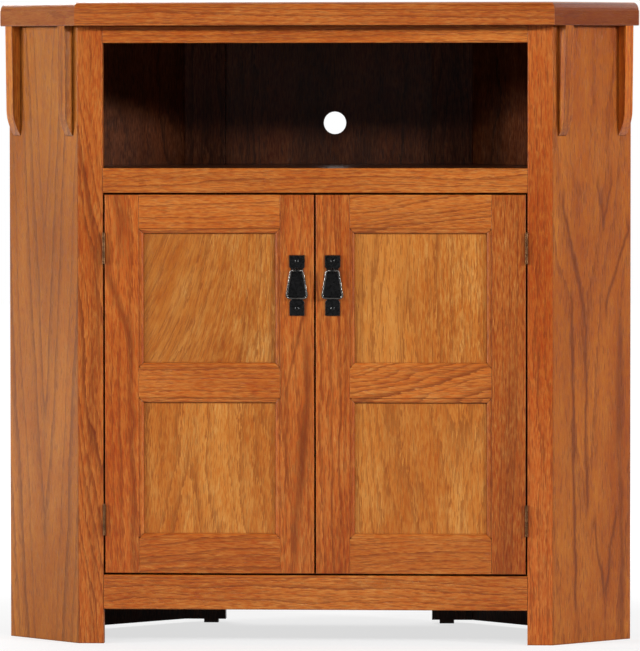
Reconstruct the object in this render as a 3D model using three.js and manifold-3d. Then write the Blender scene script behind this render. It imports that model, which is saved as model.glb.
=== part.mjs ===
// Corner television cabinet in oak, mission style: an open media compartment over a
// two-door cupboard, between two side panels that turn back at 45 degrees to the walls.
// Millimetres, +Z up, the front faces -Y. The origin is the middle of the bounding box
// on the floor. Left and right are as seen from the front.
import * as THREE from "three";
import { mergeVertices } from "three/addons/utils/BufferGeometryUtils.js";
import Module from "manifold-3d";

const wasm = await Module();
wasm.setup();

// Driving dimensions of the whole cabinet
const overallHeight = 1043;
const faceWidth = 772;
const wingLength = 176;
const flatBackDepth = 383;
const topThickness = 38;
const topFrontOverhang = 24;
const topSideOverhang = 19;
const topUpperRound = 13;
const topLowerRound = 2;
const topQuirk = 1;

// Board thicknesses
const frameThickness = 19;
const sideThickness = 19;
const shelfThickness = 19;
const postThickness = 19;
const backThickness = 6;
const cleatThickness = 16;

// Clearances
const jointGap = 0.3;
const cutOverrun = 1;

// Face frame
const stileWidth = 41;
const topRailHeight = 28;
const compartmentHeight = 203;
const midRailHeight = 40;
const bottomRailHeight = 56;
const toeSpaceHeight = 56;
const frameArris = 1;

// Back of the cabinet
const backPostWidth = 68.5;
const backLift = 6;
const footWidth = 24;
const wireHoleRadius = 19;
const wireHoleAboveShelf = 70;
const wireHoleRightOfCentre = 10;

// Shelf inside the cupboard
const shelfSetback = 25;
const cleatHeight = 25;
const rearCleatLap = 20;

// Corbels under the top
const corbelThickness = 17.5;
const corbelTopDepth = 17.5;
const corbelLowDepth = 15.5;
const corbelHeight = 179;
const corbelCurveHeight = 42;
const corbelInset = 11.5;

// Doors
const doorThickness = 19;
const doorClearance = 3;
const doorRound = 1.5;
const doorStileFace = 55;
const doorTopRailFace = 55;
const doorMidRailFace = 49;
const doorBottomRailFace = 57;
const upperPanelHeight = 210;
const stickingWidth = 8;
const stickingQuirk = 1.2;
const stickingFrontDepth = 6.2;
const stickingEdge = 1;
const panelThickness = 6;
const grooveClearance = 0.25;
const panelEdgeClearance = 0.8;

// Butt hinges
const hingeHeight = 50;
const hingeKnuckles = 3;
const hingeInset = 87;
const leafThickness = 1.2;
const leafClearance = 0.6;
const leafDepth = 16;
const barrelRadius = 2.2;
const pinRadius = 1;
const pinClearance = 0.25;
const pinHeadRadius = 1.9;
const pinHeadHeight = 1.2;
const barrelForward = 0.4;

// Drop handles
const handleBelowDoorTop = 98;
const plateHeight = 98;
const plateThickness = 2.5;
const plateArris = 0.6;
const plateTopHalfWidth = 12.5;
const plateBottomHalfWidth = 12;
const plateWaistHalfWidth = 9.8;
const plateFlareHalfWidth = 14.8;
const plateTopBlock = 19;
const plateBottomBlock = 22;
const plateShoulder = 3;
const flareBelowPlateTop = 67.5;
const pivotBelowPlateTop = 24.5;
const upperScrewBelowTop = 9.4;
const lowerScrewAboveBottom = 11.7;
const eyeThickness = 4;
const eyeRadius = 4.2;
const eyeForward = 4;
const bailBarRadius = 1.9;
const bailDrop = 45;
const bailShoulderHalfWidth = 9.6;
const bailBottomHalfWidth = 17;
const bailShoulderRound = 3;
const bailCornerRound = 6;
const bailCollarRadius = 2.8;
const bailRunningGap = 0.4;
const screwHeadRadius = 3.6;
const screwHeadHeight = 1.8;
const screwShankRadius = 1.7;
const screwLength = 14;

// Magnetic catch and its strikes
const catchWidth = 64;
const catchDepth = 18;
const catchDrop = 42;
const catchReach = 0.5;
const strikeThickness = 1.2;
const strikeWidth = 16;
const strikeHeight = 22;
const strikeBelowDoorTop = 4;

// Roundness of the turned and bent pieces
const holeSides = 24;
const turnedSides = 14;
const bailSides = 10;
const bailSteps = 60;
const curveSteps = 6;
const plateArrisSteps = 2;
const topRoundSteps = 12;

// Colours of the materials
const oakFrame = material("oak_frame", 0xb5652a, 0.45, 0);
const oakPanel = material("oak_panel", 0xc27c3a, 0.45, 0);
const oakTop = material("oak_top", 0xb8662f, 0.4, 0);
const innerWood = material("inner_wood", 0x5d3219, 0.7, 0);
const blackIron = material("black_iron", 0x141416, 0.4, 0.8);
const hingeBronze = material("hinge_bronze", 0x6b4a2c, 0.4, 0.9);
const magnetCatch = material("magnet_catch", 0x4a3020, 0.6, 0);

// Sizes that follow from the ones above
const bodyHeight = overallHeight - topThickness;
const faceHalf = faceWidth / 2;
const openingHalf = faceHalf - stileWidth;
const mitre = Math.tan(Math.PI / 8);
const diagonal = Math.SQRT2;
const postRear = flatBackDepth + postThickness;
const backRear = postRear + backThickness;
const wallInside = wingLength - backThickness - jointGap;
const postInnerHalf = wallLineX(wallInside, flatBackDepth) - backPostWidth;
const frameCentreY = (backRear - topFrontOverhang) / 2;

const doorOpeningLow = toeSpaceHeight + bottomRailHeight;
const compartmentTop = bodyHeight - topRailHeight;
const compartmentFloor = compartmentTop - compartmentHeight;
const doorOpeningHigh = compartmentFloor - midRailHeight;
const innerShelfTop = (doorOpeningLow + doorOpeningHigh + shelfThickness) / 2;

const hingeGap = 2 * leafThickness + leafClearance;
const hingeAxisX = openingHalf - hingeGap / 2;
const hingeForward = barrelRadius + barrelForward;
const doorWidth = openingHalf - hingeGap - doorClearance / 2;
const doorLow = doorOpeningLow + doorClearance;
const doorHeight = doorOpeningHigh - doorOpeningLow - 2 * doorClearance;

function material(name, colour, roughness, metalness) {
  return new THREE.MeshStandardMaterial({ name, color: colour, roughness, metalness });
}

// A closed geometry becomes a solid that can be joined and cut.
function toSolid(geometry) {
  const bare = geometry.clone();
  bare.deleteAttribute("normal");
  bare.deleteAttribute("uv");
  const merged = mergeVertices(bare);
  const mesh = new wasm.Mesh({
    numProp: 3,
    vertProperties: new Float32Array(merged.attributes.position.array),
    triVerts: new Uint32Array(merged.index.array),
  });
  return new wasm.Manifold(mesh);
}

function toGeometry(solid) {
  const mesh = solid.getMesh();
  const geometry = new THREE.BufferGeometry();
  geometry.setAttribute("position", new THREE.BufferAttribute(mesh.vertProperties, 3));
  geometry.setIndex(new THREE.BufferAttribute(mesh.triVerts, 1));
  geometry.computeVertexNormals();
  return geometry;
}

function joined(...geometries) {
  return geometries.map(toSolid).reduce((whole, next) => whole.add(next));
}

// Adds a named piece to a group.
function add(group, name, geometry, surface) {
  const piece = new THREE.Mesh(geometry, surface);
  piece.name = name;
  group.add(piece);
  return piece;
}

// A box between two corners, given in any order.
function block(x0, x1, y0, y1, z0, z1) {
  const geometry = new THREE.BoxGeometry(Math.abs(x1 - x0), Math.abs(y1 - y0), Math.abs(z1 - z0));
  return geometry.translate((x0 + x1) / 2, (y0 + y1) / 2, (z0 + z1) / 2);
}

function shapeOf(points) {
  return new THREE.Shape(points.map(([x, y]) => new THREE.Vector2(x, y)));
}

// A plan outline that stands from one height to another.
function prism(points, z0, z1) {
  const geometry = new THREE.ExtrudeGeometry(shapeOf(points), { depth: z1 - z0, bevelEnabled: false });
  return geometry.translate(0, 0, z0);
}

// An outline with rounded arrises, extruded along +Z from zero.
function roundedSlab(points, thickness, round, steps) {
  return new THREE.ExtrudeGeometry(shapeOf(points), {
    depth: thickness - 2 * round,
    bevelThickness: round,
    bevelSize: round,
    bevelOffset: -round,
    bevelSegments: steps,
  }).translate(0, 0, round);
}

// A solid of convex outlines with equally many corners, each at its own height, from the
// bottom up.
function stacked(levels) {
  const corners = levels[0][0].length;
  const positions = levels.flatMap(([outline, height]) => outline.flatMap(([x, y]) => [x, y, height]));
  const index = [];
  const last = (levels.length - 1) * corners;
  for (let base = 0; base < last; base += corners) {
    for (let i = 0; i < corners; i += 1) {
      const a = base + i;
      const b = base + (i + 1) % corners;
      index.push(a, b, b + corners, a, b + corners, a + corners);
    }
  }
  for (let i = 1; i < corners - 1; i += 1) {
    index.push(0, i + 1, i);
    index.push(last, last + i, last + i + 1);
  }
  const geometry = new THREE.BufferGeometry();
  geometry.setAttribute("position", new THREE.Float32BufferAttribute(positions, 3));
  geometry.setIndex(index);
  geometry.computeVertexNormals();
  return geometry;
}

function rectangle(x0, x1, y0, y1) {
  return [[x0, y0], [x1, y0], [x1, y1], [x0, y1]];
}

// A cylinder along +Y from one depth to another.
function rodAlongY(radius, y0, y1, sides) {
  return new THREE.CylinderGeometry(radius, radius, y1 - y0, sides).translate(0, (y0 + y1) / 2, 0);
}

function rodAlongZ(radius, z0, z1, sides) {
  return rodAlongY(radius, z0, z1, sides).rotateX(Math.PI / 2);
}

function rodAlongX(radius, x0, x1, sides) {
  return rodAlongY(radius, x0, x1, sides).rotateZ(-Math.PI / 2);
}

// Plan geometry of the wings. "Along" is measured on the outer face of a side panel from
// the front corner, "inward" from that face into the cabinet.
function wingToPlan(along, inward) {
  return [faceHalf + (along - inward) / diagonal, (along + inward) / diagonal];
}

function sideLineX(inward, y) {
  return faceHalf + y - inward * diagonal;
}

function wallLineX(along, y) {
  return faceHalf + along * diagonal - y;
}

function mirrored(points) {
  const left = points.map(([x, y]) => [-x, y]).reverse();
  return [...points, ...left];
}

// A board that fills the plan between the front, the side panels and the back.
function floorOutline(frontY, rearY, tongueY) {
  const inward = sideThickness + jointGap;
  const right = [
    [sideLineX(inward, frontY), frontY],
    wingToPlan(wallInside, inward),
    [wallLineX(wallInside, rearY), rearY],
  ];
  if (tongueY > rearY) {
    right.push([postInnerHalf - jointGap, rearY], [postInnerHalf - jointGap, tongueY]);
  }
  return mirrored(right);
}

// The plan outline of the top, with its front and wing edges drawn in by an inset. The
// edges along the walls keep their place.
function topOutline(inset) {
  const side = topSideOverhang - inset;
  const front = topFrontOverhang - inset;
  return mirrored([
    [faceHalf + side * diagonal - front, -front],
    wingToPlan(wingLength, -side),
    [wallLineX(wingLength, backRear), backRear],
  ]);
}

// The edge of the top is a small round below, an upright face, a narrow step and a large
// round above. Only the front and the wings have it: the wall edges are cut square.
function buildTop() {
  const shoulder = topThickness - topUpperRound;
  const levels = [];
  const level = (inset, height) => levels.push([topOutline(inset), height]);
  for (let i = 0; i <= topRoundSteps; i += 1) {
    const angle = Math.PI / 2 * i / topRoundSteps;
    level(topLowerRound * (1 - Math.sin(angle)), topLowerRound * (1 - Math.cos(angle)));
  }
  level(0, shoulder);
  for (let i = 0; i <= topRoundSteps; i += 1) {
    const angle = Math.PI / 2 * i / topRoundSteps;
    level(topQuirk + topUpperRound * (1 - Math.cos(angle)), shoulder + topUpperRound * Math.sin(angle));
  }
  const top = add(cabinet, "top", stacked(levels), oakTop);
  top.position.z = bodyHeight;
}

// The face frame's stiles are mitred to the side panels at the front corners.
function buildFaceFrame() {
  for (const [side, label] of [[-1, "left"], [1, "right"]]) {
    const outline = [
      [side * faceHalf, 0],
      [side * (openingHalf + frameArris), 0],
      [side * openingHalf, frameArris],
      [side * openingHalf, frameThickness],
      [side * (faceHalf - frameThickness * mitre), frameThickness],
    ];
    add(cabinet, `${label}_stile`, prism(outline, 0, bodyHeight), oakFrame);
  }
  frameRail("top_rail", compartmentTop, bodyHeight);
  frameRail("mid_rail", doorOpeningHigh, compartmentFloor);
  frameRail("bottom_rail", toeSpaceHeight, doorOpeningLow);
}

// A rail between the stiles, with its two front arrises eased.
function frameRail(name, z0, z1) {
  const section = [
    [frameArris, z0],
    [frameThickness, z0],
    [frameThickness, z1],
    [frameArris, z1],
    [0, z1 - frameArris],
    [0, z0 + frameArris],
  ];
  add(cabinet, name, alongX(section, -openingHalf, openingHalf), oakFrame);
}

// A section in depth and height, extruded along X.
function alongX(section, x0, x1) {
  const geometry = new THREE.ExtrudeGeometry(shapeOf(section), { depth: x1 - x0, bevelEnabled: false });
  const turned = new THREE.Matrix4().makeBasis(
    new THREE.Vector3(0, 1, 0),
    new THREE.Vector3(0, 0, 1),
    new THREE.Vector3(1, 0, 0),
  );
  return geometry.applyMatrix4(turned).translate(x0, 0, 0);
}

// Each wing has its own group: +X runs along the side panel and the sign of Y follows the side.
function buildWing(side, label) {
  const wing = new THREE.Group();
  wing.position.x = side * faceHalf;
  wing.rotation.z = side > 0 ? Math.PI / 4 : 3 * Math.PI / 4;
  cabinet.add(wing);
  const plan = (points) => points.map(([along, inward]) => [along, side * inward]);

  const panel = plan([
    [jointGap, 0],
    [wingLength, 0],
    [wingLength, sideThickness],
    [jointGap + sideThickness * mitre, sideThickness],
  ]);
  add(wing, `${label}_side_panel`, prism(panel, 0, bodyHeight), oakPanel);

  const backStart = sideThickness + jointGap;
  const backEnd = postRear * diagonal;
  const back = plan([
    [wingLength, backStart],
    [wingLength, backEnd - wingLength],
    [wingLength - backThickness, backEnd - wingLength + backThickness],
    [wingLength - backThickness, backStart],
  ]);
  add(wing, `${label}_back_panel`, prism(back, backLift, bodyHeight), innerWood);

  const shelfFront = frameThickness + shelfSetback;
  const cleatTop = innerShelfTop - shelfThickness;
  const cleatInner = backStart + cleatThickness;
  const cleat = plan([
    [shelfFront * diagonal - cleatInner, backStart],
    [wallInside, backStart],
    [wallInside, cleatInner],
    [shelfFront * diagonal - cleatInner, cleatInner],
  ]);
  add(wing, `${label}_shelf_cleat`, prism(cleat, cleatTop - cleatHeight, cleatTop), innerWood);

  const outerStart = wingLength - corbelInset - corbelThickness;
  buildCorbel(wing, side, `${label}_inner_corbel`, corbelInset);
  buildCorbel(wing, side, `${label}_outer_corbel`, outerStart);
}

// A corbel hangs under the top: a straight, slightly tapered edge that curves in at the foot.
function buildCorbel(wing, side, name, along) {
  const foot = bodyHeight - corbelHeight;
  const curveStart = foot + corbelCurveHeight;
  const face = -side * jointGap;
  const out = (depth) => face - side * depth;
  const shape = new THREE.Shape();
  shape.moveTo(out(0), bodyHeight);
  shape.lineTo(out(corbelTopDepth), bodyHeight);
  shape.lineTo(out(corbelLowDepth), curveStart);
  shape.quadraticCurveTo(out(corbelLowDepth), (foot + curveStart) / 2, out(0), foot);
  const outline = shape.getPoints(curveSteps).map((point) => [point.x, point.y]);
  add(wing, name, alongX(outline, along, along + corbelThickness), oakFrame);
}

// Two posts carry the flat part of the back. Each stands on a small foot.
function buildBack() {
  for (const [side, label] of [[-1, "left"], [1, "right"]]) {
    const outline = [
      [side * postInnerHalf, flatBackDepth],
      [side * wallLineX(wallInside, flatBackDepth), flatBackDepth],
      [side * wallLineX(wallInside, postRear), postRear],
      [side * postInnerHalf, postRear],
    ];
    const footMiddle = side * (postInnerHalf + wallLineX(wallInside, postRear)) / 2;
    const foot = block(
      footMiddle - footWidth / 2,
      footMiddle + footWidth / 2,
      flatBackDepth,
      postRear,
      0,
      backLift + cutOverrun,
    );
    const post = joined(prism(outline, backLift, bodyHeight), foot);
    add(cabinet, `${label}_back_post`, toGeometry(post), innerWood);
  }
  const half = wallLineX(wingLength, backRear);
  const low = doorOpeningLow - shelfThickness;
  const sheet = toSolid(block(-half, half, postRear, backRear, low, bodyHeight));
  const holeHeight = compartmentFloor + wireHoleAboveShelf;
  const hole = rodAlongY(wireHoleRadius, postRear - cutOverrun, backRear + cutOverrun, holeSides);
  hole.translate(wireHoleRightOfCentre, 0, holeHeight);
  add(cabinet, "centre_back_panel", toGeometry(sheet.subtract(toSolid(hole))), innerWood);
}

function buildShelves() {
  const whole = floorOutline(frameThickness, flatBackDepth - jointGap, postRear - jointGap);
  const mediaLow = compartmentFloor - shelfThickness;
  const bottomLow = doorOpeningLow - shelfThickness;
  add(cabinet, "media_shelf", prism(whole, mediaLow, compartmentFloor), innerWood);
  add(cabinet, "cabinet_bottom", prism(whole, bottomLow, doorOpeningLow), innerWood);

  const rearY = flatBackDepth - jointGap;
  const loose = floorOutline(frameThickness + shelfSetback, rearY, rearY);
  const cleatTop = innerShelfTop - shelfThickness;
  add(cabinet, "inner_shelf", prism(loose, cleatTop, innerShelfTop), innerWood);
  const half = postInnerHalf + rearCleatLap;
  const cleatFront = flatBackDepth - cleatThickness;
  const cleat = block(-half, half, cleatFront, flatBackDepth, cleatTop - cleatHeight, cleatTop);
  add(cabinet, "rear_shelf_cleat", cleat, innerWood);
}

// The moulded edge that a door member carries towards its panel. In the section, u runs
// from the member's flat edge towards the panel and y from the front to the back.
function stickingSections() {
  const front = new THREE.Shape();
  front.moveTo(-cutOverrun, stickingQuirk);
  front.lineTo(stickingEdge, stickingQuirk);
  front.quadraticCurveTo(
    stickingWidth,
    stickingQuirk,
    stickingWidth,
    stickingFrontDepth - stickingEdge,
  );
  front.lineTo(stickingWidth, stickingFrontDepth);
  front.lineTo(-cutOverrun, stickingFrontDepth);
  const grooveRear = stickingFrontDepth + panelThickness + 2 * grooveClearance;
  const rear = shapeOf(rectangle(-cutOverrun, stickingWidth, grooveRear, doorThickness));
  return [front, rear];
}

// One side of a panel opening, with mitred ends. The opening is given between the flat
// edges of its four members, in the door's own X and Z.
function stickingAlong(opening, edge) {
  const [x0, x1, z0, z1] = opening;
  const upright = edge === "left" || edge === "right";
  const length = (upright ? z1 - z0 : x1 - x0) - 2 * jointGap;
  const flip = edge === "right" || edge === "top" ? -1 : 1;
  const origin = { left: x0, right: x1, bottom: z0, top: z1 }[edge];
  return stickingSections().map((section) => {
    const strip = new THREE.ExtrudeGeometry(section, {
      depth: length,
      bevelEnabled: false,
      curveSegments: curveSteps,
    });
    const position = strip.attributes.position;
    for (let i = 0; i < position.count; i += 1) {
      const u = position.getX(i);
      const y = position.getY(i);
      const run = position.getZ(i);
      const slope = Math.max(u, 0);
      const mitred = run > length / 2 ? run - slope : run + slope;
      const across = origin + flip * u;
      const travel = (upright ? z0 : x0) + jointGap + mitred;
      position.setXYZ(i, upright ? across : travel, y, upright ? travel : across);
    }
    const mirror = upright !== (flip > 0);
    return toSolid(mirror ? flipFaces(strip) : strip);
  });
}

// Turns a mirrored geometry's faces out again.
function flipFaces(geometry) {
  const merged = mergeVertices(geometry);
  const index = merged.index;
  for (let i = 0; i < index.count; i += 3) {
    const second = index.getX(i + 1);
    index.setX(i + 1, index.getX(i + 2));
    index.setX(i + 2, second);
  }
  return merged;
}

// A frame-and-panel door on two butt hinges, in a group whose origin is the hinge axis at
// the door's lower edge.
function buildDoor(side, label) {
  const door = new THREE.Group();
  door.position.set(side * hingeAxisX, -hingeForward, doorLow);
  cabinet.add(door);

  const hingeEdge = hingeGap / 2;
  const lockEdge = hingeEdge + doorWidth;
  const span = (near, far) => [Math.min(-side * near, -side * far), Math.max(-side * near, -side * far)];
  const [doorX0, doorX1] = span(hingeEdge, lockEdge);
  const [innerX0, innerX1] = span(hingeEdge + doorStileFace, lockEdge - doorStileFace);

  const upperHigh = doorHeight - doorTopRailFace;
  const upperLow = upperHigh - upperPanelHeight - 2 * stickingWidth;
  const lowerHigh = upperLow - doorMidRailFace;
  const upperOpening = [innerX0, innerX1, upperLow, upperHigh];
  const lowerOpening = [innerX0, innerX1, doorBottomRailFace, lowerHigh];

  // The door's whole outline with its eased arrises trims every member.
  const slab = roundedSlab(rectangle(doorX0, doorX1, 0, doorHeight), doorThickness, doorRound, curveSteps);
  slab.rotateX(Math.PI / 2).translate(0, doorThickness, 0);
  const outline = toSolid(slab);

  const member = (name, x0, x1, z0, z1, lips, holes = []) => {
    let solid = toSolid(block(x0, x1, 0, doorThickness, z0, z1));
    for (const [opening, edge] of lips) {
      for (const strip of stickingAlong(opening, edge)) {
        solid = solid.add(strip);
      }
    }
    for (const hole of holes) {
      solid = solid.subtract(toSolid(hole));
    }
    const piece = add(door, `${label}_door_${name}`, toGeometry(solid.intersect(outline)), oakFrame);
    piece.position.y = hingeForward;
  };

  const handleX = -side * (lockEdge - doorStileFace / 2);
  const handleTop = doorHeight - handleBelowDoorTop;
  const screwHeights = [handleTop - upperScrewBelowTop, handleTop - plateHeight + lowerScrewAboveBottom];
  const pilots = screwHeights.map((height) => {
    const pilot = rodAlongY(screwShankRadius + jointGap, -cutOverrun, screwLength, turnedSides);
    return pilot.translate(handleX, 0, height);
  });

  const hingeSideEdge = side < 0 ? "left" : "right";
  const lockSideEdge = side < 0 ? "right" : "left";
  const [hingeX0, hingeX1] = span(hingeEdge, hingeEdge + doorStileFace);
  const [lockX0, lockX1] = span(lockEdge - doorStileFace, lockEdge);
  member("hinge_stile", hingeX0, hingeX1, 0, doorHeight, [
    [upperOpening, hingeSideEdge],
    [lowerOpening, hingeSideEdge],
  ]);
  member("lock_stile", lockX0, lockX1, 0, doorHeight, [
    [upperOpening, lockSideEdge],
    [lowerOpening, lockSideEdge],
  ], pilots);

  const railX0 = innerX0 + jointGap;
  const railX1 = innerX1 - jointGap;
  member("top_rail", railX0, railX1, upperHigh, doorHeight, [[upperOpening, "top"]]);
  member("mid_rail", railX0, railX1, lowerHigh, upperLow, [
    [upperOpening, "bottom"],
    [lowerOpening, "top"],
  ]);
  member("bottom_rail", railX0, railX1, 0, doorBottomRailFace, [[lowerOpening, "bottom"]]);

  const panelFront = hingeForward + stickingFrontDepth + grooveClearance;
  for (const [name, opening] of [["upper_panel", upperOpening], ["lower_panel", lowerOpening]]) {
    const [x0, x1, z0, z1] = opening;
    const edge = panelEdgeClearance;
    const sheet = block(x0 + edge, x1 - edge, 0, panelThickness, z0 + edge, z1 - edge);
    const panel = add(door, `${label}_door_${name}`, sheet, oakPanel);
    panel.position.y = panelFront;
  }

  buildHinges(door, side, label);
  buildHandle(door, label, handleX, handleTop);
  buildStrike(door, side, label, lockEdge);
}

// Two butt hinges to a door. The frame leaf has the outer knuckles, the door leaf the
// middle one, and the leaves lie in the gap between the door and the stile.
function buildHinges(door, side, label) {
  const centres = [["lower", hingeInset], ["upper", doorHeight - hingeInset]];
  const bore = pinRadius + pinClearance;
  const knuckle = hingeHeight / hingeKnuckles;
  const leafNear = leafClearance / 2;
  const leafFar = hingeGap / 2;
  for (const [place, centre] of centres) {
    const low = -hingeHeight / 2;
    const high = hingeHeight / 2;
    const middle = [low + knuckle + jointGap / 2, high - knuckle - jointGap / 2];
    const frameKnuckles = [[low, low + knuckle - jointGap / 2], [high - knuckle + jointGap / 2, high]];
    const leaf = (towards, knuckles) => {
      const x0 = towards * leafNear;
      const x1 = towards * leafFar;
      let solid = toSolid(block(x0, x1, hingeForward, hingeForward + leafDepth, low, high));
      for (const [z0, z1] of knuckles) {
        solid = solid.add(toSolid(rodAlongZ(barrelRadius, z0, z1, turnedSides)));
        solid = solid.add(toSolid(block(x0, x1, 0, hingeForward + cutOverrun, z0, z1)));
      }
      const cut = rodAlongZ(bore, low - cutOverrun, high + cutOverrun, turnedSides);
      return toGeometry(solid.subtract(toSolid(cut)));
    };
    const name = `${label}_${place}_hinge`;
    const onFrame = new THREE.Group();
    onFrame.position.set(door.position.x, door.position.y, door.position.z + centre);
    cabinet.add(onFrame);
    add(onFrame, `${name}_frame_leaf`, leaf(side, frameKnuckles), hingeBronze);

    const pinProfile = [
      [0, low],
      [pinRadius, low],
      [pinRadius, high + jointGap],
      [pinHeadRadius, high + jointGap],
      [pinHeadRadius, high + jointGap + pinHeadHeight / 2],
      [0, high + jointGap + pinHeadHeight],
    ];
    const pin = new THREE.LatheGeometry(pinProfile.map(([r, h]) => new THREE.Vector2(r, h)), turnedSides);
    add(onFrame, `${name}_pin`, pin.rotateX(Math.PI / 2), hingeBronze);

    const onDoor = add(door, `${name}_door_leaf`, leaf(-side, [middle]), hingeBronze);
    onDoor.position.z = centre;
  }
}

// A drop handle: a back plate with an eye that flares behind the bail, a bail that hangs in
// the eye, and two screws.
function buildHandle(door, label, handleX, handleTop) {
  const handle = new THREE.Group();
  handle.position.set(handleX, hingeForward, handleTop - pivotBelowPlateTop);
  door.add(handle);

  const top = pivotBelowPlateTop;
  const bottom = top - plateHeight;
  const flareLow = top - flareBelowPlateTop;
  const right = [
    [plateBottomHalfWidth, bottom],
    [plateBottomHalfWidth, bottom + plateBottomBlock],
    [plateWaistHalfWidth, bottom + plateBottomBlock + plateShoulder],
    [plateWaistHalfWidth, flareLow - plateShoulder],
    [plateFlareHalfWidth, flareLow],
    [plateWaistHalfWidth, top - plateTopBlock - plateShoulder],
    [plateTopHalfWidth, top - plateTopBlock],
    [plateTopHalfWidth, top],
  ];
  const slab = roundedSlab(mirrored(right), plateThickness, plateArris, plateArrisSteps);
  slab.rotateX(Math.PI / 2);
  const pivotY = -plateThickness - eyeForward;
  const halfEye = eyeThickness / 2;
  const eye = rodAlongX(eyeRadius, -halfEye, halfEye, turnedSides).translate(0, pivotY, 0);
  const neck = block(-halfEye, halfEye, pivotY, -plateArris, -eyeRadius, eyeRadius);
  const boreRadius = bailBarRadius + bailRunningGap;
  const bore = rodAlongX(boreRadius, -eyeRadius, eyeRadius, turnedSides).translate(0, pivotY, 0);
  let plate = joined(slab, neck, eye).subtract(toSolid(bore));
  const screwHeights = [top - upperScrewBelowTop, bottom + lowerScrewAboveBottom];
  for (const height of screwHeights) {
    const clearance = screwShankRadius + jointGap;
    const hole = rodAlongY(clearance, -plateThickness - cutOverrun, cutOverrun, turnedSides);
    plate = plate.subtract(toSolid(hole.translate(0, 0, height)));
  }
  add(handle, `${label}_handle_backplate`, toGeometry(plate), blackIron);

  const bail = add(handle, `${label}_handle_bail`, bailGeometry(), blackIron);
  bail.position.y = pivotY;

  for (const [place, height] of [["upper", screwHeights[0]], ["lower", screwHeights[1]]]) {
    const screw = add(handle, `${label}_handle_${place}_screw`, screwGeometry(), blackIron);
    screw.position.set(0, -plateThickness, height);
  }
}

// The bail is one bent bar whose two ends turn in to the eye. It hangs from its pivot at
// the origin, and a round collar on each end keeps it from sliding out.
function bailGeometry() {
  const end = jointGap;
  const shoulder = bailShoulderHalfWidth;
  const foot = bailBottomHalfWidth;
  const corners = [
    [-end, 0],
    [-shoulder, 0],
    [-foot, -bailDrop],
    [foot, -bailDrop],
    [shoulder, 0],
    [end, 0],
  ].map(([x, z]) => new THREE.Vector3(x, 0, z));
  const rounds = [0, bailShoulderRound, bailCornerRound, bailCornerRound, bailShoulderRound, 0];
  const path = new THREE.CurvePath();
  let from = corners[0];
  for (let i = 1; i < corners.length - 1; i += 1) {
    const before = corners[i - 1].clone().sub(corners[i]).setLength(rounds[i]).add(corners[i]);
    const after = corners[i + 1].clone().sub(corners[i]).setLength(rounds[i]).add(corners[i]);
    path.add(new THREE.LineCurve3(from, before));
    path.add(new THREE.QuadraticBezierCurve3(before, corners[i], after));
    from = after;
  }
  path.add(new THREE.LineCurve3(from, corners[corners.length - 1]));

  const section = [];
  for (let i = 0; i < bailSides; i += 1) {
    const angle = 2 * Math.PI * (i + 1 / 2) / bailSides;
    section.push([bailBarRadius * Math.cos(angle), bailBarRadius * Math.sin(angle)]);
  }
  const bar = new THREE.ExtrudeGeometry(shapeOf(section), {
    steps: bailSteps,
    bevelEnabled: false,
    extrudePath: path,
  });
  const collarX = eyeThickness / 2 + bailRunningGap + bailCollarRadius;
  const collars = [-collarX, collarX].map((x) => {
    const collar = new THREE.SphereGeometry(bailCollarRadius, bailSides, bailSides);
    return collar.translate(x, 0, 0);
  });
  return toGeometry(joined(bar, ...collars));
}

// A wood screw with a low domed head. Its axis is Y and the head sits at -Y.
function screwGeometry() {
  const profile = [
    [0, -screwHeadHeight],
    [screwHeadRadius / 2, -screwHeadHeight],
    [screwHeadRadius, -screwHeadHeight / 3],
    [screwHeadRadius, 0],
    [screwShankRadius, 0],
    [screwShankRadius, screwLength - screwShankRadius],
    [0, screwLength],
  ];
  return new THREE.LatheGeometry(profile.map(([r, y]) => new THREE.Vector2(r, y)), turnedSides);
}

// The strike is a small steel plate on the back of the lock stile.
function buildStrike(door, side, label, lockEdge) {
  const back = hingeForward + doorThickness;
  const far = lockEdge - stickingWidth;
  const high = doorHeight - strikeBelowDoorTop;
  const plate = block(
    -side * (far - strikeWidth),
    -side * far,
    back,
    back + strikeThickness,
    high - strikeHeight,
    high,
  );
  add(door, `${label}_door_strike`, plate, hingeBronze);
}

// The double magnetic catch hangs from the media shelf behind the meeting stiles.
function buildCatch() {
  const high = compartmentFloor - shelfThickness;
  const front = doorThickness + strikeThickness + catchReach;
  const body = block(-catchWidth / 2, catchWidth / 2, front, front + catchDepth, high - catchDrop, high);
  add(cabinet, "magnetic_catch", body, magnetCatch);
}

const cabinet = new THREE.Group();
cabinet.position.y = -frameCentreY;

buildTop();
buildFaceFrame();
buildWing(-1, "left");
buildWing(1, "right");
buildBack();
buildShelves();
buildDoor(-1, "left");
buildDoor(1, "right");
buildCatch();

const corner_tv_cabinet = new THREE.Group();
corner_tv_cabinet.add(cabinet);

export default corner_tv_cabinet;
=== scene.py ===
import math
import random
from collections import namedtuple

import bpy
from mathutils import Matrix, Vector


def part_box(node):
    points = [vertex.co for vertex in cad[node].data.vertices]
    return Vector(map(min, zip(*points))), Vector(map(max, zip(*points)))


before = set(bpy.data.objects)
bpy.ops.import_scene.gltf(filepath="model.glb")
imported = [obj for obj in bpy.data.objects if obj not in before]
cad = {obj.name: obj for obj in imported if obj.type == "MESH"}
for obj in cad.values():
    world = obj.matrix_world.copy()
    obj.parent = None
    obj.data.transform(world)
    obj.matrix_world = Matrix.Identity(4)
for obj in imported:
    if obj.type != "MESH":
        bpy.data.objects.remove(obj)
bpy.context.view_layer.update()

# Each board's grain starts at a random place, at most this far off in each direction
seed_reach = 9.0
seeds = random.Random(41)

# A noise stays mostly near 0.5. These parts of its range are stretched to a full swing.
wide_range = (0.2, 0.8)
usual_range = (0.25, 0.75)
narrow_range = (0.3, 0.7)
core_range = (0.35, 0.65)
cloud_range = (0.36, 0.64)

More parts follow.
